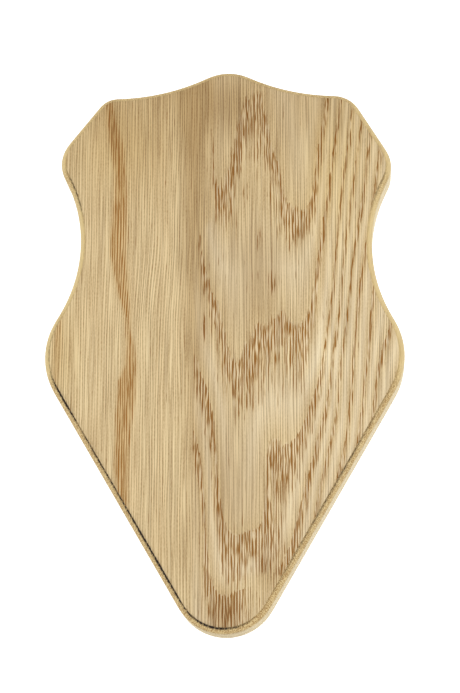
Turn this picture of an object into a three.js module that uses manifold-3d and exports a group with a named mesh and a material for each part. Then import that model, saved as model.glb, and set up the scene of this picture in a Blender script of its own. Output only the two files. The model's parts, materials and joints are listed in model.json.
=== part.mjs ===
// A shield-shaped oak board for mounting a small pair of antlers, with a routed moulding round its
// front edge and a keyhole slot for hanging cut into its back.
//
// Millimetres, +Z up. The front face looks along -Y and the flat back lies in the plane Y = 0. The
// origin is on the back, just above the hanging slot, where the board bears against the wall.

import * as THREE from 'three';
import * as BufferGeometryUtils from 'three/addons/utils/BufferGeometryUtils.js';
import Module from 'manifold-3d';

const wasm = await Module();
wasm.setup();

// Driving dimensions of the outline, seen from the front
//
// The outline is a ring of eight corners, clockwise from the crown. Each corner stands where its two
// edges would meet if it were sharp, as [across, up], and is then rounded to its radius. The edge
// that leaves a corner is straight, or a hollow arc where a hollow radius is given. The left side
// differs a little from the right side, so each side has corners of its own.

const HOLLOW_TOP_RADIUS = 73.7;
const WAIST_RADIUS = 52.3;

const CROWN_ROUND = 16.5;
const SHOULDER_ROUND_RIGHT = 10.4;
const SHOULDER_ROUND_LEFT = 7.7;
const SIDE_POINT_ROUND = 12.1;
const HIP_ROUND = 25.3;
const TIP_ROUND = 17.6;

const CORNERS = {
	crown: { at: [ 0.7, 42.4 ], round: CROWN_ROUND, hollow: HOLLOW_TOP_RADIUS },
	rightShoulder: { at: [ 43.7, 30.0 ], round: SHOULDER_ROUND_RIGHT },
	rightSidePoint: { at: [ 59.7, 2.5 ], round: SIDE_POINT_ROUND, hollow: WAIST_RADIUS },
	rightHip: { at: [ 65.5, - 64.1 ], round: HIP_ROUND },
	tip: { at: [ - 0.5, - 176.7 ], round: TIP_ROUND },
	leftHip: { at: [ - 67.8, - 61.9 ], round: HIP_ROUND, hollow: WAIST_RADIUS },
	leftSidePoint: { at: [ - 61.3, 7.5 ], round: SIDE_POINT_ROUND },
	leftShoulder: { at: [ - 42.8, 31.5 ], round: SHOULDER_ROUND_LEFT, hollow: HOLLOW_TOP_RADIUS },
};

// Driving dimensions of the thickness and the edge moulding
//
// From the face outwards the moulding is a small square step, a narrow flat quirk at its foot, and a
// rounded ovolo that runs into the upright edge of the board.

const THICKNESS = 12;
const MOULDING_WIDTH = 1.95;
const FACE_ARRIS = 0.2;
const STEP_DEPTH = 0.9;
const QUIRK_WIDTH = 0.35;
const OVOLO_DEPTH = 2.0;
const BACK_ARRIS = 0.4;

// Driving dimensions of the keyhole slot in the back

const KEYHOLE_ENTRY_HEIGHT = - 22;
const KEYHOLE_TOP_HEIGHT = - 8;
const KEYHOLE_ENTRY_DIAMETER = 10;
const KEYHOLE_NECK_WIDTH = 5;
const KEYHOLE_LIP = 3.5;
const KEYHOLE_DEPTH = 8.5;

// Fineness of the facets

const CORNER_STEP_DEGREES = 6;
const HOLLOW_STEP_DEGREES = 3;
const OVOLO_STEPS = 6;
const KEYHOLE_CURVE_STEPS = 10;

const EXACT_MM = 1e-9;
const CUT_CLEARANCE = 1;

// An edge of the outline, between two sharp corners. The board lies to its right. depthAt gives how
// far inside the edge a point is, and inwardAt the direction that leads further in.

function makeEdge( from, to ) {

	const start = new THREE.Vector2( ...from.at );
	const end = new THREE.Vector2( ...to.at );
	const along = end.clone().sub( start );
	const outward = new THREE.Vector2( - along.y, along.x ).normalize();

	if ( from.hollow === undefined ) {

		const inward = outward.clone().negate();
		return {
			centre: null,
			depthAt: ( point ) => point.clone().sub( start ).dot( inward ),
			inwardAt: () => inward.clone(),
		};

	}

	const halfChord = along.length() / 2;
	const centreOut = Math.sqrt( from.hollow ** 2 - halfChord ** 2 );
	const centre = start.clone().add( end ).multiplyScalar( 0.5 ).addScaledVector( outward, centreOut );
	return {
		centre,
		depthAt: ( point ) => point.distanceTo( centre ) - from.hollow,
		inwardAt: ( point ) => point.clone().sub( centre ).normalize(),
	};

}

// The centre of the arc that rounds a corner lies one radius inside both of its edges. It is found
// by stepping from the sharp corner, where each step solves for both depths at once.

function roundingCentre( before, after, corner ) {

	const centre = new THREE.Vector2( ...corner.at );
	let move;
	do {

		const a = before.inwardAt( centre );
		const b = after.inwardAt( centre );
		const missingA = corner.round - before.depthAt( centre );
		const missingB = corner.round - after.depthAt( centre );
		const determinant = a.cross( b );
		move = new THREE.Vector2(
			( missingA * b.y - missingB * a.y ) / determinant,
			( missingB * a.x - missingA * b.x ) / determinant
		);
		centre.add( move );

	} while ( move.length() > EXACT_MM );
	return centre;

}

// Points on an arc from one direction to another, each with the direction that leads out of the
// board there. A hollow arc has the board outside its circle, so its points look towards its centre.

function arcPoints( centre, radius, from, to, stepDegrees, isHollow ) {

	const startAngle = from.angle();
	const fullTurn = 2 * Math.PI;
	const sweep = THREE.MathUtils.euclideanModulo( to.angle() - startAngle + Math.PI, fullTurn ) - Math.PI;
	const steps = Math.ceil( Math.abs( sweep ) / THREE.MathUtils.degToRad( stepDegrees ) );
	const points = [];
	for ( let i = 0; i <= steps; i ++ ) {

		const angle = startAngle + sweep * i / steps;
		const direction = new THREE.Vector2( Math.cos( angle ), Math.sin( angle ) );
		const at = centre.clone().addScaledVector( direction, radius );
		points.push( { at, outward: isHollow ? direction.negate() : direction } );

	}

	return points;

}

// The whole outline: the rounded corners in turn, joined by their edges. A straight edge needs no
// points of its own, and a hollow edge is an arc between the two places where roundings touch it.

function makeOutline() {

	const corners = Object.values( CORNERS );
	const edges = corners.map( ( corner, i ) => makeEdge( corner, corners[ ( i + 1 ) % corners.length ] ) );
	const edgeBefore = ( i ) => edges[ ( i + corners.length - 1 ) % corners.length ];
	const roundings = corners.map( ( corner, i ) => roundingCentre( edgeBefore( i ), edges[ i ], corner ) );
	const outline = [];
	corners.forEach( ( corner, i ) => {

		const centre = roundings[ i ];
		const start = edgeBefore( i ).inwardAt( centre ).negate();
		const end = edges[ i ].inwardAt( centre ).negate();
		outline.push( ...arcPoints( centre, corner.round, start, end, CORNER_STEP_DEGREES, false ) );
		if ( corner.hollow !== undefined ) {

			const nextCentre = roundings[ ( i + 1 ) % corners.length ];
			const from = edges[ i ].inwardAt( centre );
			const to = edges[ i ].inwardAt( nextCentre );
			const hollow = arcPoints( edges[ i ].centre, corner.hollow, from, to, HOLLOW_STEP_DEGREES, true );
			outline.push( ...hollow.slice( 1, - 1 ) );

		}

	} );
	return outline;

}

// The edge profile from the face to the back, as inset from the outline and place along y

function makeProfile() {

	const profile = [
		{ inset: MOULDING_WIDTH + FACE_ARRIS, y: - THICKNESS },
		{ inset: MOULDING_WIDTH, y: - THICKNESS + FACE_ARRIS },
		{ inset: MOULDING_WIDTH, y: - THICKNESS + STEP_DEPTH },
	];
	const ovoloWidth = MOULDING_WIDTH - QUIRK_WIDTH;
	for ( let i = 0; i <= OVOLO_STEPS; i ++ ) {

		const turn = ( Math.PI / 2 ) * i / OVOLO_STEPS;
		profile.push( {
			inset: ovoloWidth * ( 1 - Math.sin( turn ) ),
			y: - THICKNESS + STEP_DEPTH + OVOLO_DEPTH * ( 1 - Math.cos( turn ) ),
		} );

	}

	profile.push( { inset: 0, y: - BACK_ARRIS }, { inset: BACK_ARRIS, y: 0 } );
	return profile;

}

// A closed skin: one ring of points for each point of the profile, quads between the rings, and a
// flat cap on the face and on the back

function makeMouldedBoard() {

	const outline = makeOutline();
	const profile = makeProfile();
	const count = outline.length;
	const positions = [];
	for ( const { inset, y } of profile ) {

		for ( const { at, outward } of outline ) {

			positions.push( at.x - outward.x * inset, y, at.y - outward.y * inset );

		}

	}

	const indices = [];
	for ( let ring = 0; ring < profile.length - 1; ring ++ ) {

		for ( let i = 0; i < count; i ++ ) {

			const next = ( i + 1 ) % count;
			const front = ring * count;
			const back = front + count;
			indices.push( front + i, front + next, back + next );
			indices.push( front + i, back + next, back + i );

		}

	}

	const addCap = ( ring, facesFront ) => {

		const first = ring * count;
		const contour = [];
		for ( let i = first; i < first + count; i ++ ) {

			contour.push( new THREE.Vector2( positions[ 3 * i ], positions[ 3 * i + 2 ] ) );

		}

		for ( const [ a, b, c ] of THREE.ShapeUtils.triangulateShape( contour, [] ) ) {

			const isAnticlockwise = ! THREE.ShapeUtils.isClockWise( [ contour[ a ], contour[ b ], contour[ c ] ] );
			const triangle = isAnticlockwise === facesFront ? [ a, b, c ] : [ a, c, b ];
			indices.push( ...triangle.map( ( index ) => first + index ) );

		}

	};

	addCap( 0, true );
	addCap( profile.length - 1, false );

	const geometry = new THREE.BufferGeometry();
	geometry.setAttribute( 'position', new THREE.Float32BufferAttribute( positions, 3 ) );
	geometry.setIndex( indices );
	return geometry;

}

// An upright slot with round ends, sunk from the back at y = 0 to a depth. Its lowest and highest
// centres may be the same, which makes it a round hole.

function makeSlot( width, lowCentre, highCentre, fromDepth, toDepth ) {

	const radius = width / 2;
	const shape = new THREE.Shape();
	shape.absarc( 0, highCentre, radius, 0, Math.PI, false );
	shape.absarc( 0, lowCentre, radius, Math.PI, 2 * Math.PI, false );
	const slot = new THREE.ExtrudeGeometry( shape, {
		depth: toDepth - fromDepth,
		bevelEnabled: false,
		curveSegments: KEYHOLE_CURVE_STEPS,
	} );
	slot.rotateX( Math.PI / 2 );
	slot.translate( 0, - fromDepth, 0 );
	return slot;

}

// The keyhole is a round entry for a screw head, a narrow neck up the back for its shank, and a wider
// undercut behind the lip of the neck, in which the head slides up

function cutKeyhole( board ) {

	const mouth = - CUT_CLEARANCE;
	const entry = [ KEYHOLE_ENTRY_HEIGHT, KEYHOLE_ENTRY_HEIGHT ];
	const run = [ KEYHOLE_ENTRY_HEIGHT, KEYHOLE_TOP_HEIGHT ];
	return board
		.subtract( toManifold( makeSlot( KEYHOLE_ENTRY_DIAMETER, ...entry, mouth, KEYHOLE_DEPTH ) ) )
		.subtract( toManifold( makeSlot( KEYHOLE_NECK_WIDTH, ...run, mouth, KEYHOLE_DEPTH ) ) )
		.subtract( toManifold( makeSlot( KEYHOLE_ENTRY_DIAMETER, ...run, KEYHOLE_LIP, KEYHOLE_DEPTH ) ) );

}

// A closed mesh as a solid that can be cut. Points that its faces share are merged first.

function toManifold( geometry ) {

	const bare = geometry.clone();
	bare.deleteAttribute( 'normal' );
	bare.deleteAttribute( 'uv' );
	const merged = BufferGeometryUtils.mergeVertices( bare );
	const mesh = new wasm.Mesh( {
		numProp: 3,
		vertProperties: Float32Array.from( merged.attributes.position.array ),
		triVerts: Uint32Array.from( merged.index.array ),
	} );
	return new wasm.Manifold( mesh );

}

// A cut solid back as a mesh geometry

function toGeometry( solid ) {

	const mesh = solid.getMesh();
	const geometry = new THREE.BufferGeometry();
	geometry.setAttribute( 'position', new THREE.Float32BufferAttribute( mesh.vertProperties, 3 ) );
	geometry.setIndex( Array.from( mesh.triVerts ) );
	geometry.computeVertexNormals();
	return geometry;

}

const oak = new THREE.MeshStandardMaterial( { color: 0xcdb286, roughness: 0.6, metalness: 0 } );

const board = new THREE.Mesh( toGeometry( cutKeyhole( toManifold( makeMouldedBoard() ) ) ), oak );
board.name = 'shield_board';

const plaque = new THREE.Group();
plaque.add( board );

export default plaque;
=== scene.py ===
# %% [markdown]
# # An oak plaque for a small pair of antlers
#
# The real object is one flat board of light oak, 12 mm thick, sawn to the shape of a shield. A
# router has run once round its front edge and left a small moulding. The board hangs on a wall, and
# a pair of antlers is screwed to its bare face later.
#
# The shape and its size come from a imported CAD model. This lesson loads it as a fixed frame, draws
# the same board again with a finer edge, and spends most of its steps on what makes bare oak look
# like oak: growth rings, pores, fibres, and the scorch that a router leaves.

# %% Load the frame
import json
import math
import bmesh
import bpy
import numpy as np
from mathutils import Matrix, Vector
from mathutils.geometry import delaunay_2d_cdt

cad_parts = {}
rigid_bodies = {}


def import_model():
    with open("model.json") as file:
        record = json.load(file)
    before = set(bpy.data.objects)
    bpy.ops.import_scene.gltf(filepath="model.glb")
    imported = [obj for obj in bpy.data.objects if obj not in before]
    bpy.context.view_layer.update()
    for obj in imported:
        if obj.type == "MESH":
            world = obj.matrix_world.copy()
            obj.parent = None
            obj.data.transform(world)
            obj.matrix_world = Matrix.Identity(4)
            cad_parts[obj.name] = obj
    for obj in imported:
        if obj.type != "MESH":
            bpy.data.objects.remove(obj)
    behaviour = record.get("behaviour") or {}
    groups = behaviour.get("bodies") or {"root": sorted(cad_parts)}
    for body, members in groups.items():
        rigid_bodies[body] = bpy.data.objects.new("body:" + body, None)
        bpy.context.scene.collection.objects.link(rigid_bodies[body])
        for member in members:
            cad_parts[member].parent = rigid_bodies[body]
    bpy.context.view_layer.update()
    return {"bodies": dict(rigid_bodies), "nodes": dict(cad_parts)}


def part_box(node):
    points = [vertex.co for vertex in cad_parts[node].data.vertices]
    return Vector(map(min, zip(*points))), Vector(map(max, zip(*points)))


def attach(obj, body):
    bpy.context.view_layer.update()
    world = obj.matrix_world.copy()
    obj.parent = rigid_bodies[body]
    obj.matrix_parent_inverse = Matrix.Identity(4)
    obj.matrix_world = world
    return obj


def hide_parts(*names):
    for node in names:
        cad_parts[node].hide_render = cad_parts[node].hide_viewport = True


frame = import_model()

MM = 0.001
NODE = "shield_board"
BODY = next(iter(frame["bodies"]))
low, high = (np.array(corner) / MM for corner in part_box(NODE))
THICKNESS = high[1] - low[1]
print(f"the board is {high[0] - low[0]:.1f} x {THICKNESS:.1f} x {high[2] - low[2]:.1f} mm")

# %% [markdown]
# ## The camera
#
# The photographer stood below the board and a little to its right: the moulding shows its under
# side all along the bottom edges, and the top edge hides its own moulding. The long edges also run
# together slightly, so the camera was close. A tilt of 16 degrees at 60 cm gives the same outline.

# %% Camera
PICTURE_WIDTH_PX = 460
PICTURE_HEIGHT_PX = 693
PIXELS_PER_MM = 2.915
CAMERA_DISTANCE = 600 * MM
CAMERA_YAW = math.radians(4.14)
CAMERA_TILT = math.radians(16.46)
AIM = Vector((0.97, -6.0, -60.7)) * MM
SENSOR_MM = 36.0

towards_camera = Vector((
    math.sin(CAMERA_YAW) * math.cos(CAMERA_TILT),
    -math.cos(CAMERA_YAW) * math.cos(CAMERA_TILT),
    -math.sin(CAMERA_TILT),
))
camera_data = bpy.data.cameras.new("camera")
camera_data.sensor_fit = "VERTICAL"
camera_data.sensor_height = SENSOR_MM
camera_data.lens = SENSOR_MM * PIXELS_PER_MM * (CAMERA_DISTANCE / MM) / PICTURE_HEIGHT_PX
camera = bpy.data.objects.new("camera", camera_data)
camera.location = AIM + towards_camera * CAMERA_DISTANCE
camera.rotation_euler = towards_camera.to_track_quat("Z", "Y").to_euler()
bpy.context.scene.collection.objects.link(camera)
bpy.context.scene.camera = camera
print(f"camera at {tuple(round(c, 3) for c in camera.location)}, lens {camera_data.lens:.1f} mm")

# %% [markdown]
# ## The outline
#
# The frame already holds the outline, so it is read from there instead of being drawn twice. The
# CAD solid has a ring of corners just in front of its back arris, where the edge is at its full
# width. Seen from the middle of the board every direction meets the outline once, so sorting that
# ring by angle puts it in order. It is then walked in short even steps, and a light smoothing
# takes the facets out of the round stretches.

# %% Read the outline and walk it in even steps
BACK_ARRIS = 0.4
SAME_HEIGHT = 0.01
EDGE_STEP = 0.85
FACET_SMOOTHING = 2

cad_points = np.array([vertex.co[:] for vertex in frame["nodes"][NODE].data.vertices]) / MM
ring = cad_points[np.abs(cad_points[:, 1] + BACK_ARRIS) < SAME_HEIGHT][:, [0, 2]]
ring = np.unique(np.round(ring, 3), axis=0)
middle = np.array([(low[0] + high[0]) / 2, (low[2] + high[2]) / 2])
clockwise = np.argsort(-np.arctan2(*(ring - middle).T[::-1]))
ring = ring[clockwise]

closed = np.vstack([ring, ring[:1]])
travelled = np.concatenate([[0], np.cumsum(np.hypot(*np.diff(closed, axis=0).T))])
perimeter = travelled[-1]
edge_count = round(perimeter / EDGE_STEP)
stations = np.arange(edge_count) * perimeter / edge_count
outline = np.stack([np.interp(stations, travelled, closed[:, axis]) for axis in (0, 1)], axis=1)
for _ in range(FACET_SMOOTHING):
    outline = (np.roll(outline, 1, 0) + 2 * outline + np.roll(outline, -1, 0)) / 4
along = np.roll(outline, -1, 0) - np.roll(outline, 1, 0)
along /= np.hypot(*along.T)[:, None]
outward = np.stack([-along[:, 1], along[:, 0]], axis=1)
print(f"outline of {len(ring)} CAD corners, {perimeter:.0f} mm round, walked in {edge_count} steps")

# %% [markdown]
# ## The edge profile
#
# A router cutter with a pilot bearing cuts the same section all the way round. From the face
# outwards it leaves a small square step, a narrow flat at its foot, and a round that runs into the
# upright edge. The section is listed from the face to the back, as pairs of the inset from the
# outline and the depth behind the face. Sharp edges of real wood are never perfectly sharp, so the
# face and the back get a tiny round, made by a quarter turn in a few steps. A few more rings stand
# part of the way down the step and the wall, because colours are kept at the corners of the mesh.

# %% Edge profile, as inset from the outline and depth behind the face
MOULDING_WIDTH = 1.95
FACE_ARRIS = 0.2
STEP_DEPTH = 0.9
QUIRK_WIDTH = 0.35
OVOLO_WIDTH = MOULDING_WIDTH - QUIRK_WIDTH
OVOLO_DEPTH = 2.0
ARRIS_STEPS = 3
OVOLO_STEPS = 10
STEP_RING_AT = 0.6
WALL_RINGS_AT = (0.14, 0.28, 0.43, 0.57, 0.71, 0.86)


def quarter_turn(from_inset, from_depth, width, depth, steps, starts_flat):
    """A quarter ellipse from a point of the profile, outwards and backwards."""
    turns = np.linspace(0, math.pi / 2, steps + 1)
    if starts_flat:
        return [(from_inset - width * math.sin(t), from_depth + depth * (1 - math.cos(t))) for t in turns]
    return [(from_inset + width * (1 - math.cos(t)), from_depth + depth * math.sin(t)) for t in turns]


profile = quarter_turn(MOULDING_WIDTH + FACE_ARRIS, 0, FACE_ARRIS, FACE_ARRIS, ARRIS_STEPS, True)
profile += [(MOULDING_WIDTH, STEP_DEPTH * STEP_RING_AT), (MOULDING_WIDTH, STEP_DEPTH)]
profile += [(MOULDING_WIDTH - QUIRK_WIDTH / 2, STEP_DEPTH)]
profile += quarter_turn(OVOLO_WIDTH, STEP_DEPTH, OVOLO_WIDTH, OVOLO_DEPTH, OVOLO_STEPS, True)
wall_top = STEP_DEPTH + OVOLO_DEPTH
wall_foot = THICKNESS - BACK_ARRIS
profile += [(0, wall_top + (wall_foot - wall_top) * part) for part in WALL_RINGS_AT]
profile += quarter_turn(0, wall_foot, BACK_ARRIS, BACK_ARRIS, ARRIS_STEPS, False)
profile = np.array(profile)
print(f"{len(profile)} rings, from {profile[0]} to {profile[-1]}")

# %% [markdown]
# ## The skin of the board
#
# Each point of the profile becomes one ring round the board, and neighbouring rings are joined by
# quads. The face and the back are flat, but they are still filled with small triangles: the growth
# rings are worked out later at every corner of the mesh, so it needs corners all over. Blender's
# constrained Delaunay triangulation joins a loop and the loose points inside it. Those stand in
# rows 0.87 of a step apart, which makes triangles with three equal sides.

# %% Fill helpers
FACE_SPACING = 1.0
BACK_SPACING = 1.6
ROWS_APART = 0.87
SAME_POINT = 1e-6


def is_inside(points, loop):
    """Whether each point lies inside a loop, by how often a line to its right crosses the loop."""
    ends = np.roll(loop, -1, 0)
    crossings = np.zeros(len(points), int)
    for (x0, z0), (x1, z1) in zip(loop, ends):
        if z0 == z1:
            continue
        spans = (points[:, 1] > min(z0, z1)) & (points[:, 1] <= max(z0, z1))
        crossings += spans & (points[:, 0] < x0 + (points[:, 1] - z0) / (z1 - z0) * (x1 - x0))
    return crossings % 2 == 1


def points_between(loop, loop_outward, spacing):
    """Staggered rows of points inside a loop, kept half a step away from it."""
    columns = np.arange(low[0], high[0], spacing)
    x, z = np.meshgrid(columns, np.arange(low[2], high[2], spacing * ROWS_APART))
    x[1::2] += spacing / 2
    rows = np.stack([x.ravel(), z.ravel()], axis=1)
    return rows[is_inside(rows, loop - loop_outward * spacing / 2)]


def fill(loop, loop_outward, spacing):
    """Points inside the loop and the triangles over loop and points, counted with the loop first."""
    inner = points_between(loop, loop_outward, spacing)
    corners = [Vector(point) for point in np.vstack([loop, inner])]
    sides = [(i, (i + 1) % len(loop)) for i in range(len(loop))]
    _, _, triangles, origins, *_ = delaunay_2d_cdt(corners, sides, [], 1, SAME_POINT)
    first = [origin[0] for origin in origins]
    return inner, [[first[corner] for corner in triangle] for triangle in triangles]


# %% Build the skin
rings = [
    np.column_stack([flat[:, 0], np.full(edge_count, low[1] + depth), flat[:, 1]])
    for inset, depth in profile
    for flat in [outline - outward * inset]
]
points = np.vstack(rings)
faces = []
for k in range(len(profile) - 1):
    front, back = k * edge_count, (k + 1) * edge_count
    for i in range(edge_count):
        after = (i + 1) % edge_count
        faces.append([front + i, front + after, back + after, back + i])

for k, spacing, y in ((0, FACE_SPACING, low[1]), (len(profile) - 1, BACK_SPACING, high[1])):
    inner, triangles = fill(outline - outward * profile[k][0], outward, spacing)
    loop_corners = np.arange(k * edge_count, (k + 1) * edge_count)
    inner_corners = np.arange(len(points), len(points) + len(inner))
    corner_of = np.concatenate([loop_corners, inner_corners])
    points = np.vstack([points, np.column_stack([inner[:, 0], np.full(len(inner), y), inner[:, 1]])])
    faces += [corner_of[triangle].tolist() for triangle in triangles]

mesh = bpy.data.meshes.new("oak_shield_board")
mesh.from_pydata((points * MM).tolist(), [], faces)
work = bmesh.new()
work.from_mesh(mesh)
bmesh.ops.recalc_face_normals(work, faces=work.faces)
work.to_mesh(mesh)
work.free()
board = bpy.data.objects.new("oak_shield_board", mesh)
bpy.context.scene.collection.objects.link(board)
print(f"skin of {len(mesh.vertices)} corners and {len(mesh.polygons)} faces")

# %% [markdown]
# ## The keyhole in the back
#
# The photograph doesn't show the back, so this is the plainest thing that such a board hangs on: a
# keyhole slot. A T-shaped cutter is plunged in for the entry and drawn upwards. It leaves a narrow
# neck at the surface and a wider groove beneath. Three prisms with round ends, joined and then
# subtracted with a Boolean modifier, give the same hollow. The ones that open to the back start a
# millimetre outside it, so that no two surfaces lie in one plane.

# %% Keyhole
ENTRY_HEIGHT = -22
TOP_HEIGHT = -8
ENTRY_DIAMETER = 10
NECK_WIDTH = 5
LIP = 3.5
DEPTH = 8.5
OUTSIDE_THE_BACK = -1
ROUND_STEPS = 24


def slot_prism(name, width, low_centre, high_centre, from_depth, to_depth):
    """An upright prism with round ends, sunk into the back between two depths."""
    turns = np.linspace(0, math.pi, ROUND_STEPS + 1)
    upper = [(width / 2 * math.cos(t), high_centre + width / 2 * math.sin(t)) for t in turns]
    lower = [(-width / 2 * math.cos(t), low_centre - width / 2 * math.sin(t)) for t in turns]
    if low_centre == high_centre:
        lower = lower[1:-1]
    loop = upper + lower
    count = len(loop)
    corners = [(x * MM, -depth * MM, z * MM) for depth in (from_depth, to_depth) for x, z in loop]
    sides = [(i, (i + 1) % count, count + (i + 1) % count, count + i) for i in range(count)]
    ends = [tuple(range(count)), tuple(range(2 * count - 1, count - 1, -1))]
    prism = bpy.data.meshes.new(name)
    prism.from_pydata(corners, [], sides + ends)
    shape = bmesh.new()
    shape.from_mesh(prism)
    bmesh.ops.recalc_face_normals(shape, faces=shape.faces)
    shape.to_mesh(prism)
    shape.free()
    cutter = bpy.data.objects.new(name, prism)
    bpy.context.scene.collection.objects.link(cutter)
    return cutter


def combine(target, other, operation):
    """Joins or cuts target by other with an applied Boolean modifier, and removes other."""
    modifier = target.modifiers.new("combine", "BOOLEAN")
    modifier.object = other
    modifier.operation = operation
    modifier.solver = "EXACT"
    result = bpy.data.meshes.new_from_object(target.evaluated_get(bpy.context.evaluated_depsgraph_get()))
    target.modifiers.clear()
    target.data = result
    bpy.data.objects.remove(other)


keyhole = slot_prism("keyhole", ENTRY_DIAMETER, ENTRY_HEIGHT, ENTRY_HEIGHT, OUTSIDE_THE_BACK, DEPTH)
neck = slot_prism("neck", NECK_WIDTH, ENTRY_HEIGHT, TOP_HEIGHT, OUTSIDE_THE_BACK, DEPTH)
groove = slot_prism("groove", ENTRY_DIAMETER, ENTRY_HEIGHT, TOP_HEIGHT, LIP, DEPTH)
combine(keyhole, neck, "UNION")
combine(keyhole, groove, "UNION")
combine(board, keyhole, "DIFFERENCE")
board.data.name = "oak_shield_board"
print(f"board with keyhole: {len(board.data.vertices)} corners, {len(board.data.polygons)} faces")

# %% [markdown]
# ## The growth rings
#
# Oak grows a band of wide pores each spring, and a sawn face cuts those bands at a slant. On a
# plain-sawn board they show as nested tongues, which joiners call cathedrals. On this board the
# middle of the tree lay behind the right half, so the tongues are there, and the left half has
# nearly straight lines.
#
# A band could be painted stroke by stroke, but then nothing would join up. Here the whole face
# gets one number instead, how many rings out from the middle a point lies. Eight rings are traced,
# and a thin-plate spline, the curve of a bent sheet of steel, spreads the count smoothly between
# them. Every whole number is then the start of a year.
#
# A line is easiest to trace on the picture, so the points are places in it, in pixels from its top
# left corner. The camera is known, and the sight line through such a place meets the face at one
# point in millimetres.

# %% From places in the picture to the face
def on_face(picked):
    """Where the sight lines through places in the picture meet the face, as (across, up) in mm."""
    picked = np.array(picked, float)
    rightwards, upwards, backwards = np.array(camera.rotation_euler.to_matrix()).T
    eye = np.array(camera.location) / MM
    shift = (picked[:, :1] - PICTURE_WIDTH_PX / 2) * rightwards
    shift += (PICTURE_HEIGHT_PX / 2 - picked[:, 1:]) * upwards
    sight = shift / (PIXELS_PER_MM * CAMERA_DISTANCE / MM) - backwards
    reach = (low[1] - eye[1]) / sight[:, 1:2]
    return (eye + sight * reach)[:, [0, 2]]


print(f"the middle of the picture is at {on_face([(PICTURE_WIDTH_PX / 2, PICTURE_HEIGHT_PX / 2)])[0]} mm")

# %% Trace a few rings, as places in the picture
RING_LINES = {
    1: [
        (208, 88), (213, 160), (216, 186), (222, 185), (227, 170), (232, 152), (237, 127), (244, 107),
        (254, 93), (263, 100), (268, 125), (272, 143), (280, 165), (283, 188), (287, 203), (293, 208),
        (299, 210), (307, 208), (311, 197), (316, 165), (321, 130), (325, 104),
    ],
    2: [
        (192, 86), (198, 200), (204, 262), (211, 287), (219, 309), (224, 332), (229, 350), (235, 361),
        (242, 352), (250, 342), (257, 322), (266, 326), (276, 316), (284, 312), (291, 322), (300, 325),
        (307, 316), (311, 303), (314, 285), (317, 262), (322, 222), (328, 188), (332, 150), (338, 112),
    ],
    3: [
        (176, 91), (187, 300), (198, 365), (207, 389), (212, 408), (215, 435), (218, 480), (221, 505),
        (226, 526), (232, 534), (241, 534), (250, 530), (258, 529), (264, 516), (266, 490), (267, 455),
        (271, 441), (281, 444), (292, 442), (300, 432), (308, 412), (316, 387), (323, 358), (328, 320),
        (333, 280), (337, 235), (341, 190), (347, 150), (352, 106),
    ],
    4: [
        (150, 100), (163, 300), (185, 410), (201, 457), (205, 500), (207, 545), (211, 578), (216, 592),
        (226, 595), (238, 590), (256, 584), (275, 572), (290, 545), (298, 515), (305, 486), (312, 460),
        (320, 428), (328, 395), (332, 352), (340, 300), (344, 245), (351, 190), (357, 150), (361, 119),
    ],
    5: [
        (111, 102), (121, 154), (118, 249), (131, 325), (131, 363), (120, 434), (127, 500), (150, 566),
        (314, 514), (323, 470), (332, 430), (339, 375), (346, 318), (354, 245), (362, 198), (369, 135),
    ],
    6: [
        (92, 130), (97, 250), (84, 371), (89, 441), (336, 480), (345, 440), (350, 392), (354, 340),
        (359, 285), (365, 245), (373, 193), (379, 150),
    ],
    7: [
        (65, 328), (64, 360), (357, 440), (362, 405), (367, 355), (371, 305),
    ],
    8: [
        (372, 412), (378, 362), (388, 332),
    ],
}
ACROSS_STRETCH = 3.0
SPLINE_LENGTH = 50.0
SPLINE_SOFTNESS = 0.02
BENDING_UNIT = 1000.0
NEAREST = 1e-9
CORNERS_AT_ONCE = 4000


def bending(distance):
    """The thin-plate spline's weight for a distance."""
    return np.square(distance) * np.log(np.maximum(distance, NEAREST)) / BENDING_UNIT


def stretched(places):
    """The places pulled apart across the board, because the count changes faster across the fibres."""
    return places * np.array([ACROSS_STRETCH, 1])


def apart(a, b):
    """The distance from each place of a to each place of b."""
    return np.hypot(a[:, None, 0] - b[None, :, 0], a[:, None, 1] - b[None, :, 1])


def batches(places):
    """The places in batches, because a table of all distances at once would be too large."""
    return np.array_split(places, range(CORNERS_AT_ONCE, len(places), CORNERS_AT_ONCE))


traced = stretched(on_face([place for line in RING_LINES.values() for place in line]))
counts = np.array([ring_count for ring_count, line in RING_LINES.items() for _ in line], float)
plane = np.column_stack([np.ones(len(traced)), traced / SPLINE_LENGTH])
system = np.block([
    [bending(apart(traced, traced)) + SPLINE_SOFTNESS * np.eye(len(traced)), plane],
    [plane.T, np.zeros((3, 3))],
])
weights = np.linalg.solve(system, np.concatenate([counts, np.zeros(3)]))


def ring_count_at(across, up):
    """How many rings out from the middle of the tree each point of the face lies."""
    places = stretched(np.column_stack([across, up]))
    bent = [bending(apart(some, traced)) @ weights[:-3] for some in batches(places)]
    return np.concatenate(bent) + weights[-3] + (places / SPLINE_LENGTH) @ weights[-2:]


print(f"{len(traced)} traced points; count at the crown {ring_count_at([0.0], [35.0])[0]:.2f}")

# %% [markdown]
# The board is solid, so the rings run on through its thickness. Each ring is about 4.5 mm thick in
# the tree, so the back shows the same tongues, a little over two and a half rings on.
#
# The fibres follow the trunk. They stand upright at the left, swerve a little round something left of
# the middle, and lean to the right near the right edge. So each point also gets the place across at
# which its fibre would cross the middle of the board. Both are kept on the mesh as attributes, one
# number a corner, for the material to read.

# %% Put rings and fibres on the mesh
RINGS_PER_MM_OF_DEPTH = 0.22
LEAN_RIGHT = 0.04
LEAN_FROM, LEAN_TO = 18.0, 52.0
SWERVE = 1.8
SWERVE_AT = -24.0
SWERVE_HALF_WIDTH = 13.0
SWERVE_FROM, SWERVE_TO = -22.0, -58.0


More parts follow.
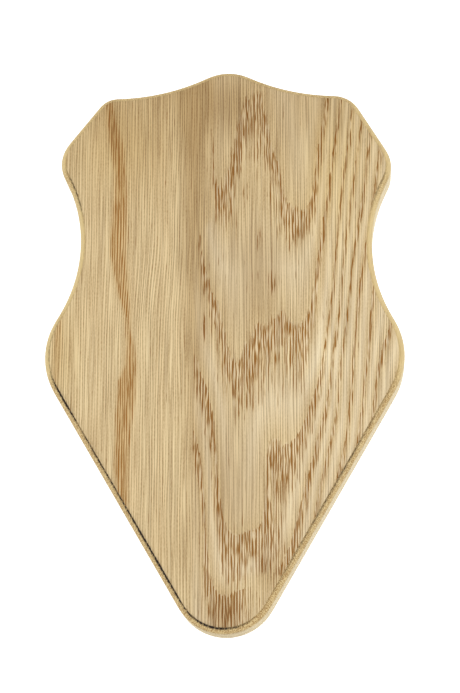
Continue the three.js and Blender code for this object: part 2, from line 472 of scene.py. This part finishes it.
def smooth_step(value, start, end):
    """0 before the start, 1 past the end, and a smooth curve between them."""
    part = np.clip((value - start) / (end - start), 0, 1)
    return part * part * (3 - 2 * part)


def put_on_mesh(name, values):
    """Keeps one number for each corner of the mesh, where the material can read it."""
    attribute = board.data.attributes.new(name, "FLOAT", "POINT")
    attribute.data.foreach_set("value", np.ascontiguousarray(values, np.float32))
    print(f"{name}: {values.min():.2f} to {values.max():.2f}")


place = np.empty(3 * len(board.data.vertices))
board.data.vertices.foreach_get("co", place)
place = place.reshape(-1, 3) / MM
across, up = place[:, 0], place[:, 2]
behind_face = place[:, 1] - low[1]

ring_count = ring_count_at(across, up)
put_on_mesh("ring", ring_count + behind_face * RINGS_PER_MM_OF_DEPTH)
lean = LEAN_RIGHT * smooth_step(across, LEAN_FROM, LEAN_TO)
swerve = SWERVE * smooth_step(up, SWERVE_FROM, SWERVE_TO)
swerve *= np.exp(-np.square((across - SWERVE_AT) / SWERVE_HALF_WIDTH))
put_on_mesh("fibre", across - lean * (up - middle[1]) + swerve)

# %% [markdown]
# The pores of a year start sharply at its ring line and hang down from it along the fibres: about
# 10 mm near the top, 18 mm near the tip, and only 5 mm on the right, where the lines crowd. On the
# flank of a tongue the same pores make only a narrow streak. So the width of a band, counted in
# rings, grows with how fast the count changes along the fibre.

# %% How far each year's pores reach, in rings
PORES_HANG, PORES_HANG_BELOW, PORES_HANG_RIGHT = 10.5, 18.0, 5.5
LONGER_FROM, LONGEST_FROM = -40.0, -110.0
RIGHT_SIDE_FROM, RIGHT_SIDE_TO = 30.0, 42.0
RIGHT_SIDE_LEAN = 0.1
LEAST_BAND = 0.08
LOOK_UP = 1.5
STEEPEST = 0.06

rings_per_mm_down = np.clip((ring_count - ring_count_at(across, up + LOOK_UP)) / LOOK_UP, 0, STEEPEST)
pores_hang = PORES_HANG + (PORES_HANG_BELOW - PORES_HANG) * smooth_step(up, LONGER_FROM, LONGEST_FROM)
right_side = smooth_step(across - RIGHT_SIDE_LEAN * up, RIGHT_SIDE_FROM, RIGHT_SIDE_TO)
pores_hang += (PORES_HANG_RIGHT - pores_hang) * right_side
put_on_mesh("band", LEAST_BAND + pores_hang * rings_per_mm_down)

# %% [markdown]
# Not every year shows. Left of the middle the saw met the rings almost square on, so their pores are
# only fine lines there. One year was rich in pores and makes the long brown streak, which is traced
# by its left and right edge on twenty rows of the picture. A fainter one crosses the left hip, given
# in millimetres, as are four small clusters of pores that stand on their own in the middle.

# %% How richly the pores show
RICH_FROM_TOP, RICH_FROM_BELOW = -4.5, -10.5
BELOW_STARTS, TOP_STARTS = -26, -14
RICH_FADES_LEFT, RICH_FADES_RIGHT = 1.5, 1
PLAIN_BELOW = -138.0
PLAIN_FADE = 5
PLAIN_FROM, PLAIN_TO = 4, 9
PLAIN_SHARE = 0.8
STREAK = [
    (102, 106, 112), (125, 107, 117), (150, 111, 124), (175, 115, 126), (200, 114, 127),
    (215, 112, 127), (235, 110, 127), (250, 110, 126), (265, 112, 127), (280, 115, 128),
    (295, 118, 129), (310, 124, 129), (330, 126, 130), (345, 127, 134), (365, 125, 136),
    (380, 119, 136), (400, 117, 135), (430, 115, 130), (470, 114, 128), (500, 118, 128),
]
HIP_STREAK = [(-38, -58, -57), (-50, -58.5, -56), (-60, -59, -56.5), (-72, -59, -57), (-86, -58, -57)]
STREAK_SOFTNESS, HIP_STREAK_SOFTNESS = 1.2, 1.0
HIP_STREAK_SHARE = 0.55
STREAK_FADE = 6.0
CLUSTERS = [((16, -41), 1.6, 4.5), ((11.5, -23), 1.2, 4.0), ((-7.5, -56), 1.0, 6.0), ((-7, -80), 0.8, 5.0)]
CLUSTER_STRENGTH = 0.8


def traced_edges(rows):
    """Height, left edge and right edge in mm, from a row of the picture and two places in it."""
    row, left, right = np.array(rows, float).T
    left, right = on_face(np.column_stack([left, row])), on_face(np.column_stack([right, row]))
    return np.column_stack([left[:, 1], left[:, 0], right[:, 0]])


def between_edges(edges, softness):
    """1 between the left and right edge of a streak, fading out past its sides and its two ends."""
    heights, lefts, rights = np.array(edges[::-1], float).T
    left, right = np.interp(up, heights, lefts), np.interp(up, heights, rights)
    inside = smooth_step(across, left - softness, left + softness)
    inside *= smooth_step(across, right + softness, right - softness)
    inside *= smooth_step(up, heights[0] - STREAK_FADE, heights[0])
    return inside * smooth_step(up, heights[-1] + STREAK_FADE, heights[-1])


upper = smooth_step(up, BELOW_STARTS, TOP_STARTS)
rich_from = RICH_FROM_BELOW + (RICH_FROM_TOP - RICH_FROM_BELOW) * upper
rich = smooth_step(across, rich_from - RICH_FADES_LEFT, rich_from + RICH_FADES_RIGHT)
plain_tip = smooth_step(across, PLAIN_FROM, PLAIN_TO)
rich *= 1 - PLAIN_SHARE * plain_tip * smooth_step(up, PLAIN_BELOW, PLAIN_BELOW - PLAIN_FADE)
put_on_mesh("rich", rich)
streak = between_edges(traced_edges(STREAK), STREAK_SOFTNESS)
hip_streak = HIP_STREAK_SHARE * between_edges(HIP_STREAK, HIP_STREAK_SOFTNESS)
put_on_mesh("streak", np.maximum(streak, hip_streak))
stray = np.zeros(len(across))
for spot, half_width, half_height in CLUSTERS:
    off = np.hypot((across - spot[0]) / half_width, (up - spot[1]) / half_height)
    stray += CLUSTER_STRENGTH * np.exp(-np.square(off))
put_on_mesh("stray", stray)

# %% [markdown]
# The wood is not one colour either. A greyer band runs down left of the middle, with a darker patch
# in it near the top edge and another at the tip. The top of the board is a little darker too, partly
# the wood's own tone and partly painted shade, for light that falls off towards the top. The wood
# round the tongues is paler in places, and the two top corners and the left hip are warmer.
# Each patch is a soft ellipse, given by its middle, its half width, its half height and how much of
# it shows. They were set by comparing renders with the picture.

# %% Soft shades in the wood, and painted shade towards the top
SOFT_SHADES = [
    ("grey band", (-11.0, 0.0), 5.0, 70, 0.8),
    ("middle of the board", (11.0, -34.0), 9.0, 18, 0.75),
    ("middle of the third tongue", (2.0, -96.0), 7.0, 26, 0.6),
    ("right of the tip", (14.0, -140.0), 5.0, 8, 0.6),
    ("top right corner", (32.0, 24.0), 14.0, 16, 0.2),
    ("grey band, lower part", (-9.5, -85.0), 4.0, 55, 0.35),
    ("patch under the top edge", (-13.0, 29.0), 4.0, 14, 0.6),
    ("left of the crown", (-22.0, 34.0), 6.0, 10, 0.3),
    ("patch at the tip", (-1.0, -153.0), 5.0, 8, 0.9),
    ("beside the streak at the top", (-39.0, 20.0), 4.0, 14, 0.45),
    ("left shoulder", (-55.0, 8.0), 7.0, 10, 0.2),
    ("under the crown", (2.0, 25.0), 8.0, 14, 0.35),
    ("inside the right tongue", (22.0, 10.0), 6.0, 22, 0.2),
    ("above the lower tongue", (5.0, -114.0), 7.0, 10, 0.3),
    ("beside the right tuft", (16.0, -108.0), 4.0, 14, 0.2),
    ("crown", (-3.0, 28.0), 12.0, 9, 0.3),
    ("right of the streak", (-27.0, 6.0), 9.0, 16, 0.25),
    ("left arm of the first tongue", (2.0, -2.0), 6.0, 9, 0.25),
    ("left arm of the second tongue", (-2.0, -50.0), 7.0, 10, 0.2),
    ("left of the tip", (-15.0, -130.0), 8.0, 12, 0.25),
]
PALE_PATCHES = [
    ("right arm of the second tongue", (31.0, -65.0), 10.0, 10, 0.9),
    ("under the first tongue", (15.0, -18.0), 7.0, 9, 0.5),
    ("under the second tongue", (3.5, -88.0), 8.0, 14, 0.6),
    ("left of the streak", (-46.0, -72.0), 6.0, 14, 0.4),
    ("right arm of the third tongue", (38.0, -92.0), 6.0, 16, 0.3),
    ("under the third tongue", (6.0, -144.0), 9.0, 8, 0.6),
]
WARM_PATCHES = [
    ("right side", (38.0, 2.0), 14.0, 28, 0.8),
    ("left top", (-36.0, 12.0), 16.0, 18, 0.6),
    ("left hip", (-56.0, -65.0), 6.0, 16, 0.5),
]
TOP_SHADE = 0.4
TOP_SHADE_FROM, TOP_SHADE_FULL = -10, 40


def soft_patches(patches):
    """The sum of soft ellipses at every corner of the mesh."""
    total = np.zeros(len(across))
    for _, spot, half_width, half_height, most in patches:
        off = np.hypot((across - spot[0]) / half_width, (up - spot[1]) / half_height)
        total += most * np.exp(-np.square(off))
    return total


# darker towards the top: partly the wood's tone and partly painted shade for light falling off there
top_shade = TOP_SHADE * smooth_step(up, TOP_SHADE_FROM, TOP_SHADE_FULL)
put_on_mesh("shade", np.clip(top_shade + soft_patches(SOFT_SHADES), 0, 1))
put_on_mesh("pale", np.clip(soft_patches(PALE_PATCHES), 0, 1))
put_on_mesh("warm", np.clip(soft_patches(WARM_PATCHES), 0, 1))

# %% [markdown]
# ## Scorch and painted shade at the foot of the step
#
# A router cutter that slows down or turns a corner rubs and scorches the wood. The photograph shows
# it in the corner at the foot of the small step: nearly black along parts of the lower left side and
# under the tip, a dotted brown line on the lower right, and only a trace elsewhere. That dark line is
# partly scorch and partly painted shade: the shadow the step casts on the moulding and the shade in
# the corner at its foot, both painted in as one dark colour. Each stretch is given by its middle, its
# reach along the edge and its strength.

# %% Paint scorch and shade at the foot of the step
SCORCH_AND_SHADE_STRETCHES = [
    ("below the left hip", (-55, -80), 9, 2.0),
    ("lower left side", (-24, -132), 24, 1.9),
    ("middle of the lower left side", (-40, -106), 22, 1.1),
    ("tip", (-6, -158), 12, 1.5),
    ("lower right side", (38, -112), 36, 0.62),
    ("left side point", (-55, -6), 10, 0.7),
    ("left hip", (-62, -62), 18, 0.4),
    ("right side point", (57, -6), 10, 0.45),
]
LEAST_SCORCH_AND_SHADE = 0.12
SCORCH_AND_SHADE_REACH_OUT = 0.36
SCORCH_AND_SHADE_REACH_IN = 0.25
MOULDING_TO, WALL_FROM = 1.7, 2.5

flat_place = place[:, [0, 2]]
near = np.concatenate([apart(some, outline).argmin(axis=1) for some in batches(flat_place)])
inset = np.hypot(*(flat_place - outline[near]).T)
strength = np.full(edge_count, LEAST_SCORCH_AND_SHADE)
for _, spot, reach, most in SCORCH_AND_SHADE_STRETCHES:
    from_spot = np.hypot(*(outline - np.array(spot)).T)
    strength = np.maximum(strength, most * np.exp(-np.square(from_spot / reach)))
foot = MOULDING_WIDTH - QUIRK_WIDTH / 2
beside_foot = np.where(inset < foot, (foot - inset) / SCORCH_AND_SHADE_REACH_OUT, (inset - foot) / SCORCH_AND_SHADE_REACH_IN)
is_front = smooth_step(behind_face, WALL_FROM, MOULDING_TO)
# the dark line is partly scorch and partly painted shade: the step's shadow and the shade in the corner at
# its foot
put_on_mesh("scorch_and_shade", strength[near] * np.exp(-np.square(beside_foot)) * is_front)

# %% [markdown]
# ## Moulding, wall and end grain
#
# The cutter left the moulding smoother and more even than the sanded face. The upright wall is paler,
# partly the colour of sawn wood and partly painted light, for an edge lit brighter than the face.
# Where the edge turns down or up it cuts across the grain, and the open ends of the pores show as
# small dark specks, more of them on the parts that look down. How far an edge looks up is read from
# its outward direction, 1 for straight up and -1 for straight down.

# %% Mark the moulding, the wall and the end grain
ON_THE_FACE = 0.01
EDGE_MARGIN = 0.05
DOWN_FROM, DOWN_FULL = -0.1, -0.6
UP_FROM, UP_FULL = 0.3, 0.8
SPECKS_BELOW, SPECKS_ABOVE = 0.8, 0.5
is_edge = (behind_face > ON_THE_FACE) & (behind_face < THICKNESS - ON_THE_FACE)
is_edge &= inset < MOULDING_WIDTH + EDGE_MARGIN
put_on_mesh("moulding", is_edge * is_front)
put_on_mesh("wall", is_edge * (1 - is_front))
upwards = outward[near][:, 1]
end_grain = SPECKS_BELOW * smooth_step(upwards, DOWN_FROM, DOWN_FULL)
end_grain += SPECKS_ABOVE * smooth_step(upwards, UP_FROM, UP_FULL)
put_on_mesh("end_grain", end_grain)

# %% [markdown]
# ## Colours and nodes
#
# Screen colours are written as sRGB hex values, which are easy to compare with a photograph. Blender
# mixes light in linear values, so one function turns one into the other. A second one adds a node,
# sets it up and links its inputs, so that a pattern reads almost like a formula.

# %% Colour and node helpers
def linear(hex_colour):
    """A linear RGBA colour from an sRGB hex value."""
    channels = [int(hex_colour[i:i + 2], 16) / 255 for i in (1, 3, 5)]
    return (*[c / 12.92 if c <= 0.04045 else ((c + 0.055) / 1.055) ** 2.4 for c in channels], 1)


def add(tree, kind, inputs=(), **settings):
    """Adds a node with its settings, and fills its inputs, given in order or by name.

    An input is a plain value, a socket, or a node, which stands for its first output.
    """
    node = tree.nodes.new("ShaderNode" + kind)
    for name, value in settings.items():
        setattr(node, name, value)
    sockets = [socket for socket in node.inputs if socket.enabled]
    if isinstance(inputs, dict):
        sockets = [node.inputs[name] for name in inputs]
        inputs = inputs.values()
    for socket, value in zip(sockets, inputs):
        if isinstance(value, bpy.types.Node):
            value = next(output for output in value.outputs if output.enabled)
        if isinstance(value, bpy.types.NodeSocket):
            tree.links.new(value, socket)
        else:
            socket.default_value = value
    return node


# %% [markdown]
# ## Bare sanded oak
#
# Oak is ring-porous. Spring wood has pores up to 0.3 mm wide, cut open on the face as dark dashes a
# few millimetres long, and summer wood is dense, smooth and pale. Fine-sanded and unvarnished, it
# has almost no gloss.
#
# All patterns are stretched along the fibres, and their scale comes from sizes in millimetres: a
# noise texture whose input is divided by a size has spots of that size. The place across comes from
# the number kept on the mesh, so the patterns follow the lean of the trunk, and a slow noise lets
# the fibres wander by about a millimetre. A noise seldom goes below 0.3 or above 0.7, so many of the
# patterns take these as their ends. Each has a shift of its own, which sets it apart from the rest.

# %% Oak: coordinates along the fibres
WANDER = 1.2
WANDER_WIDTH = 6.0
WANDER_LENGTH = 45.0
NOISE_LOW, NOISE_HIGH = 0.3, 0.7

oak = bpy.data.materials.new("fine_sanded_bare_oak")
oak.use_nodes = True
tree = oak.node_tree
tree.nodes.clear()

from_mesh = {
    name: add(tree, "Attribute", attribute_name=name).outputs["Fac"]
    for name in (
        "ring", "fibre", "band", "rich", "streak", "stray", "shade", "pale", "warm",
        "scorch_and_shade", "moulding", "wall", "end_grain",
    )
}
position = add(tree, "SeparateXYZ", [add(tree, "TexCoord").outputs["Object"]])
depth_mm = add(tree, "Math", (position.outputs["Y"], 1 / MM), operation="MULTIPLY")
height_mm = add(tree, "Math", (position.outputs["Z"], 1 / MM), operation="MULTIPLY")
slow_place = add(tree, "CombineXYZ", [
    add(tree, "Math", (way, 1 / size), operation="MULTIPLY")
    for way, size in (
        (from_mesh["fibre"], WANDER_WIDTH), (depth_mm, WANDER_WIDTH), (height_mm, WANDER_LENGTH),
    )
])
wander = add(tree, "TexNoise", {"Vector": slow_place, "Scale": 1.0, "Detail": 1.0})
wandering = add(tree, "Math", (wander, WANDER, from_mesh["fibre"]), operation="MULTIPLY_ADD")
wood_place = add(tree, "CombineXYZ", (wandering, depth_mm, height_mm))


def grain(width, length, shift, detail=0.0):
    """Noise whose spots are so wide across the fibres and so long along them, from 0 to 1."""
    squeeze = (1 / width, 1 / width, 1 / length)
    scaled = add(tree, "VectorMath", (wood_place, squeeze, (shift, shift, shift)), operation="MULTIPLY_ADD")
    return add(tree, "TexNoise", {"Vector": scaled, "Scale": 1.0, "Detail": detail})


print(f"{len(from_mesh)} numbers from the mesh; fibres wander by {WANDER} mm over {WANDER_LENGTH:.0f} mm")

# %% [markdown]
# ### Spring wood
#
# The ring count gives the season. Its fraction is 0 where a spring starts and nearly 1 where the
# year ends. Pores stand in small tufts, so the start of a band and its reach are both shifted by a
# noise that is one tuft wide, which gives the band its ragged ends. A colour ramp makes the band
# full at its ring line and thinner further on. Summer wood is palest in the middle of the year.

# %% Oak: where spring wood and summer wood are
TUFT_WIDTH = 0.4
TUFT_LENGTH = 18.0
TUFT_IN_RINGS = 0.14
SHORTEST_TUFT, LONGEST_TUFT = 0.5, 1.5
SPRING_STOPS = ((0.0, 1.0), (0.35, 1.0), (0.65, 0.75), (1.0, 0.0))
SUMMER_STOPS = ((0.25, 0.0), (0.6, 1.0), (0.95, 0.0))


def set_stops(ramp, stops):
    """Gives a colour ramp its stops, as pairs of a place and a brightness."""
    elements = ramp.color_ramp.elements
    while len(elements) < len(stops):
        elements.new(1.0)
    for element, (stop_at, brightness) in zip(elements, stops):
        element.position = stop_at
        element.color = (brightness, brightness, brightness, 1)


tuft_shift = add(tree, "Math", (grain(TUFT_WIDTH, TUFT_LENGTH, 3.0), 0.5), operation="SUBTRACT")
ring_here = add(tree, "Math", (tuft_shift, TUFT_IN_RINGS, from_mesh["ring"]), operation="MULTIPLY_ADD")
season = add(tree, "Math", [ring_here], operation="FRACT")
tuft_reach = add(tree, "MapRange", (
    grain(TUFT_WIDTH, TUFT_LENGTH, 7.0), NOISE_LOW, NOISE_HIGH, SHORTEST_TUFT, LONGEST_TUFT,
))
band_here = add(tree, "Math", (from_mesh["band"], tuft_reach), operation="MULTIPLY")
past_line = add(tree, "Math", (season, band_here), operation="DIVIDE")
spring = add(tree, "ValToRGB", [past_line])
set_stops(spring, SPRING_STOPS)
spring_wood = add(tree, "Math", (spring, from_mesh["rich"], from_mesh["stray"]), operation="MULTIPLY_ADD")
summer = add(tree, "ValToRGB", [season])
set_stops(summer, SUMMER_STOPS)
summer_wood = add(tree, "Math", (summer, from_mesh["rich"]), operation="MULTIPLY")
print(f"a tuft of pores, {TUFT_WIDTH} mm wide, moves its ring line by up to {TUFT_IN_RINGS / 2:.2f} rings")

# %% [markdown]
# ### Lanes of fibres
#
# Seen close, the fibres lie in lanes a little under a millimetre apart, and pores stand in the same
# lanes. Noise alone never gives such an even spacing, so a sine wave across the fibres does it. A
# slow noise sways the wave, and a patchy one makes it come and go. The wave is added to each noise
# of fibres or pores below, which draws them all into the same lanes.

# %% Oak: lanes
LANE_WIDTH = 0.92
LANE_SLANT = 0.6
LANE_PATCH_WIDTH = 1.2
LANE_PATCH_LENGTH = 14.0
SWAY_WIDTH = 2.5
SWAY_LENGTH = 50.0
SWAY_IN_LANES = 1.0
WEAKEST_LANE, STRONGEST_LANE = 0.04, 0.26

sway = grain(SWAY_WIDTH, SWAY_LENGTH, 29.0)
lane_across = add(tree, "Math", (depth_mm, LANE_SLANT, wandering), operation="MULTIPLY_ADD")
lane_turn = add(tree, "Math", (lane_across, 2 * math.pi / LANE_WIDTH), operation="MULTIPLY")
swayed_turn = add(tree, "Math", (sway, 2 * math.pi * SWAY_IN_LANES, lane_turn), operation="MULTIPLY_ADD")
lane_wave = add(tree, "Math", [swayed_turn], operation="SINE")
lane_patches = grain(LANE_PATCH_WIDTH, LANE_PATCH_LENGTH, 31.0)
lane_strength = add(tree, "MapRange", (
    lane_patches, NOISE_LOW, NOISE_HIGH, WEAKEST_LANE, STRONGEST_LANE,
))
lanes = add(tree, "Math", (lane_wave, lane_strength), operation="MULTIPLY")
print(f"lanes {LANE_WIDTH} mm apart")

# %% [markdown]
# ### Pores and fibres
#
# A pore shows where a noise passes a limit. The limit is out of reach in plain wood and falls as
# there is more spring wood, so the strokes crowd at a ring line and thin out below it. The streak on
# the left has its own, finer strokes. The rest is quieter: long thin lines, tan and pale fibres,
# short flecks, and broad stripes of warmer wood. A single fibre is only a few hundredths of a
# millimetre thick and would not show, so the fibres are drawn as coarse as bundles of them.

# %% Oak: pores and fibres
DASH_WIDTH = 0.28
DASH_LENGTH = 5.0
CORD_WIDTH = 0.24
CORD_LENGTH = 9.0
FIBRE_WIDTH = 0.28
FIBRE_LENGTH = 18.0
FLECK_LENGTH = 0.84
LINE_LENGTH = 45.0
LINES_IN_RICH = 0.05
BROAD_WIDTH = 5.0
BROAD_LENGTH = 120.0
NO_PORES, MANY_PORES = 0.86, 0.46
DASHES_FULL_AT, DASH_SOFTNESS = 0.7, 0.14
CORDS_FULL_AT, CORD_SOFTNESS = 0.8, 0.1
RIDGE_FROM, RIDGE_FULL = 0.47, 0.36
LINE_FROM, LINE_FULL = 0.60, 0.68


def open_pores(noise, wood, full_at, softness):
    """Strokes where a noise in lanes passes a limit, which falls with the amount of a kind of wood."""
    limit = add(tree, "MapRange", (wood, 0.0, full_at, NO_PORES, MANY_PORES))
    above = add(tree, "Math", (noise, limit), operation="SUBTRACT")
    return add(tree, "MapRange", (above, 0.0, softness))


dash_noise = add(tree, "Math", (grain(DASH_WIDTH, DASH_LENGTH, 11.0), lanes), operation="ADD")
dashes = open_pores(dash_noise, spring_wood, DASHES_FULL_AT, DASH_SOFTNESS)
ridges = add(tree, "MapRange", (dash_noise, RIDGE_FROM, RIDGE_FULL))
between_dashes = add(tree, "Math", (ridges, spring_wood), operation="MULTIPLY")
cord_noise = add(tree, "Math", (grain(CORD_WIDTH, CORD_LENGTH, 17.0, detail=1.0), lanes), operation="ADD")
cords = open_pores(cord_noise, from_mesh["streak"], CORDS_FULL_AT, CORD_SOFTNESS)
line_noise = add(tree, "Math", (
    from_mesh["rich"], LINES_IN_RICH, grain(FIBRE_WIDTH, LINE_LENGTH, 23.0),
), operation="MULTIPLY_ADD")
lines = add(tree, "MapRange", (line_noise, LINE_FROM, LINE_FULL))
fibre_noise = add(tree, "Math", (grain(FIBRE_WIDTH, FIBRE_LENGTH, 37.0), lanes), operation="ADD")
fibres = add(tree, "MapRange", (fibre_noise, NOISE_LOW, NOISE_HIGH))
flecks = add(tree, "MapRange", (grain(FIBRE_WIDTH, FLECK_LENGTH, 43.0), NOISE_LOW, NOISE_HIGH))
broad = add(tree, "MapRange", (grain(BROAD_WIDTH, BROAD_LENGTH, 51.0), NOISE_LOW, NOISE_HIGH))
print(f"pores {DASH_WIDTH} mm wide and about {DASH_LENGTH:.0f} mm long, bundles of fibres {FIBRE_WIDTH} mm")

# %% [markdown]
# ### Colours of the wood
#
# The wood starts as pale fibres, and each layer is laid over it with a share of its own. The soft
# patches then multiply the result: grey-brown for shade, over 1 to make it paler, and honey for
# warmth.

# %% Oak: colours of the wood
PALE_FIBRES = "#EED7A8"
PORE_BROWN = "#8E5B10"
LAYERS = [
    ("tan fibres", fibres, 1.0, "#B39669"),
    ("broad warm stripes", broad, 0.3, "#C7A675"),
    ("short pale flecks", flecks, 0.36, PALE_FIBRES),
    ("dense summer wood", summer_wood, 0.45, "#F8E8C6"),
    ("spring wood under its pores", spring_wood, 0.4, "#BE9250"),
    ("ridges between pores", between_dashes, 0.55, "#F8E8C6"),
    ("long thin lines", lines, 0.4, "#7E5E38"),
    ("wood of the streak", from_mesh["streak"], 0.35, "#C2903C"),
    ("pores of the streak", cords, 0.8, "#945C00"),
    ("pores of spring wood", dashes, 0.9, PORE_BROWN),
]
TINTS = [
    # the shade tint also carries the painted shade towards the top of the face
    ("shade", linear("#D8CCBA")),
    ("pale", (1.16, 1.22, 1.3, 1)),
    ("warm", linear("#FCF6E2")),
]
ground = linear(PALE_FIBRES)
for name, where, share, hex_colour in LAYERS:
    factor = add(tree, "Math", (where, share), operation="MULTIPLY")
    ground = add(tree, "Mix", (factor, ground, linear(hex_colour)), data_type="RGBA")
    print(f"{name}: {share:.0%} of {hex_colour}")
for name, tint in TINTS:
    ground = add(tree, "Mix", (from_mesh[name], ground, tint), data_type="RGBA", blend_type="MULTIPLY")

# %% [markdown]
# ### Cut edges, scorch and painted shade
#
# The moulding is more even and yellower than the face. The wall is paler, partly sawn wood and
# partly painted light. The specks are the open ends of the pores. The dark line at the foot of the
# step lies over everything, in blotches: partly scorch, because the cutter burns where it slows
# down, and partly painted shade, the shadow of the step and the shade in the corner at its foot.

# %% Oak: colours of the cut edges, the scorch and the painted shade
SPECK_WIDTH, SPECK_LENGTH = 0.3, 0.4
SPECK_FROM, SPECK_FULL = 0.40, 0.62
BLOTCH_WIDTH, BLOTCH_LENGTH = 0.45, 0.9
BLOTCH_LOW, BLOTCH_HIGH = 0.3, 0.65
LIGHTEST_SCORCH_AND_SHADE, DARKEST_SCORCH_AND_SHADE = 0.45, 1.4
SCORCH_AND_SHADE_COLOUR = linear("#2A1E14")
CUT_EDGES = [
    ("moulding", 0.85, "#E6CE96", 1.0),
    # the wall is painted paler, partly the colour of sawn wood and partly painted light for an edge lit
    # brighter than the face
    ("wall", 0.62, "#F8EBC4", 0.3),
]
specks = add(tree, "MapRange", (grain(SPECK_WIDTH, SPECK_LENGTH, 59.0), SPECK_FROM, SPECK_FULL))
speckled = add(tree, "Math", (specks, from_mesh["end_grain"]), operation="MULTIPLY")
for name, share, hex_colour, speck_share in CUT_EDGES:
    speck = add(tree, "Math", (speckled, speck_share), operation="MULTIPLY")
    cut_wood = add(tree, "Mix", (speck, linear(hex_colour), linear(PORE_BROWN)), data_type="RGBA")
    factor = add(tree, "Math", (from_mesh[name], share), operation="MULTIPLY")
    ground = add(tree, "Mix", (factor, ground, cut_wood), data_type="RGBA")
    print(f"{name}: {share:.0%} of {hex_colour}")
blotches = add(tree, "MapRange", (
    grain(BLOTCH_WIDTH, BLOTCH_LENGTH, 67.0), BLOTCH_LOW, BLOTCH_HIGH, LIGHTEST_SCORCH_AND_SHADE, DARKEST_SCORCH_AND_SHADE,
))
# scorch and painted shade at the foot of the step, in blotches
scorch_and_shade_here = add(tree, "Math", (from_mesh["scorch_and_shade"], blotches), operation="MULTIPLY", use_clamp=True)
colour = add(tree, "Mix", (scorch_and_shade_here, ground, SCORCH_AND_SHADE_COLOUR), data_type="RGBA")

# %% [markdown]
# ### Relief and shader
#
# Sanding leaves the pores open, about a tenth of a millimetre deep, and the long lines shallower.
# Bare wood reflects like any dull non-metal: an IOR of 1.5, a high roughness, and less mirror than
# the default because its surface is full of holes.

# %% Oak: relief and shader
PORE_DEPTH = 0.08 * MM
LINE_DEPTH_IN_PORES = 0.4
BUMP_STRENGTH = 0.6
ROUGHNESS = 0.65
IOR = 1.5
MIRROR = 0.3

pores = add(tree, "Math", (dashes, cords), operation="MAXIMUM")
pore_relief = add(tree, "Math", (pores, -1.0), operation="MULTIPLY")
relief = add(tree, "Math", (lines, -LINE_DEPTH_IN_PORES, pore_relief), operation="MULTIPLY_ADD")
bump = add(tree, "Bump", {"Strength": BUMP_STRENGTH, "Distance": PORE_DEPTH, "Height": relief})
wood = add(tree, "BsdfPrincipled", {
    "Base Color": colour, "Roughness": ROUGHNESS, "IOR": IOR, "Specular IOR Level": MIRROR, "Normal": bump,
})
add(tree, "OutputMaterial", {"Surface": wood})
board.data.materials.clear()
board.data.materials.append(oak)
print(f"{oak.name}: {len(tree.nodes)} nodes")

# %% [markdown]
# ## Smooth shading
#
# Every face is shaded smooth, and edges that turn more than 35 degrees stay sharp: the foot of the
# step and the rim of the keyhole.

# %% Smooth shading
SHARP_FROM = math.radians(35)
board.data.shade_smooth()
board.data.set_sharp_from_angle(angle=SHARP_FROM)
print(f"{sum(edge.use_edge_sharp for edge in board.data.edges)} sharp edges")

# %% [markdown]
# ## Light
#
# The photograph looks as if it was taken in a light tent with a white back: there is no shadow, the
# background is pure white, and the upright edges are brighter than the face, as if they saw the back
# of the tent. The world is made like that, brighter behind the board than in front of it, with one
# soft lamp in front of its lower half.

# %% World and lamp
TENT_FRONT = 0.705
TENT_BACK = 1.6
FRONT_UNTIL, BACK_FROM = -0.2, 0.5
LAMP_SIZE = 0.25
LAMP_WATTS = 0.33
LAMP_AT = Vector((0.03, -0.36, -0.08))
LAMP_AIM = Vector((0, 0, -0.08))
world = bpy.data.worlds.new("light_tent")
world.use_nodes = True
bpy.context.scene.world = world
tent = world.node_tree
tent.nodes.clear()
facing = add(tent, "SeparateXYZ", [add(tent, "TexCoord").outputs["Generated"]])
brightness = add(tent, "MapRange", (
    facing.outputs["Y"], FRONT_UNTIL, BACK_FROM, TENT_FRONT, TENT_BACK,
), interpolation_type="SMOOTHSTEP")
cloth = add(tent, "Background", {"Color": (1, 1, 1, 1), "Strength": brightness})
add(tent, "OutputWorld", {"Surface": cloth})
bpy.context.scene.view_settings.view_transform = "Standard"

lamp_data = bpy.data.lights.new("soft_lamp", "AREA")
lamp_data.shape = "DISK"
lamp_data.size = LAMP_SIZE
lamp_data.energy = LAMP_WATTS
lamp = bpy.data.objects.new("soft_lamp", lamp_data)
lamp.location = LAMP_AT
lamp.rotation_euler = (LAMP_AT - LAMP_AIM).to_track_quat("Z", "Y").to_euler()
bpy.context.scene.collection.objects.link(lamp)

print(f"tent {TENT_FRONT} in front and {TENT_BACK} behind, lamp {LAMP_WATTS} W")

# %% [markdown]
# ## Floor
#
# The floor is matt painted board, pale and plain, and lies well below the camera's view. It is not
# part of the object.

# %% Floor
FLOOR_HEIGHT = -1.2
FLOOR_HALF = 4.0
paint = bpy.data.materials.new("pale_floor_paint")
paint.use_nodes = True
paint.node_tree.nodes.clear()
matt = add(paint.node_tree, "BsdfPrincipled", {"Base Color": linear("#E8E6E1"), "Roughness": 0.7})
add(paint.node_tree, "OutputMaterial", {"Surface": matt})
floor_mesh = bpy.data.meshes.new("pale_floor")
floor_mesh.from_pydata(
    [(x * FLOOR_HALF, y * FLOOR_HALF, FLOOR_HEIGHT) for x, y in ((-1, -1), (1, -1), (1, 1), (-1, 1))],
    [], [(0, 1, 2, 3)],
)
floor_mesh.materials.append(paint)
floor = bpy.data.objects.new("pale_floor", floor_mesh)
bpy.context.scene.collection.objects.link(floor)
print(f"floor {-FLOOR_HEIGHT:.1f} m below the hanging point")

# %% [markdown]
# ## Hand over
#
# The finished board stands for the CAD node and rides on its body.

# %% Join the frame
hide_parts(NODE)
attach(board, BODY)
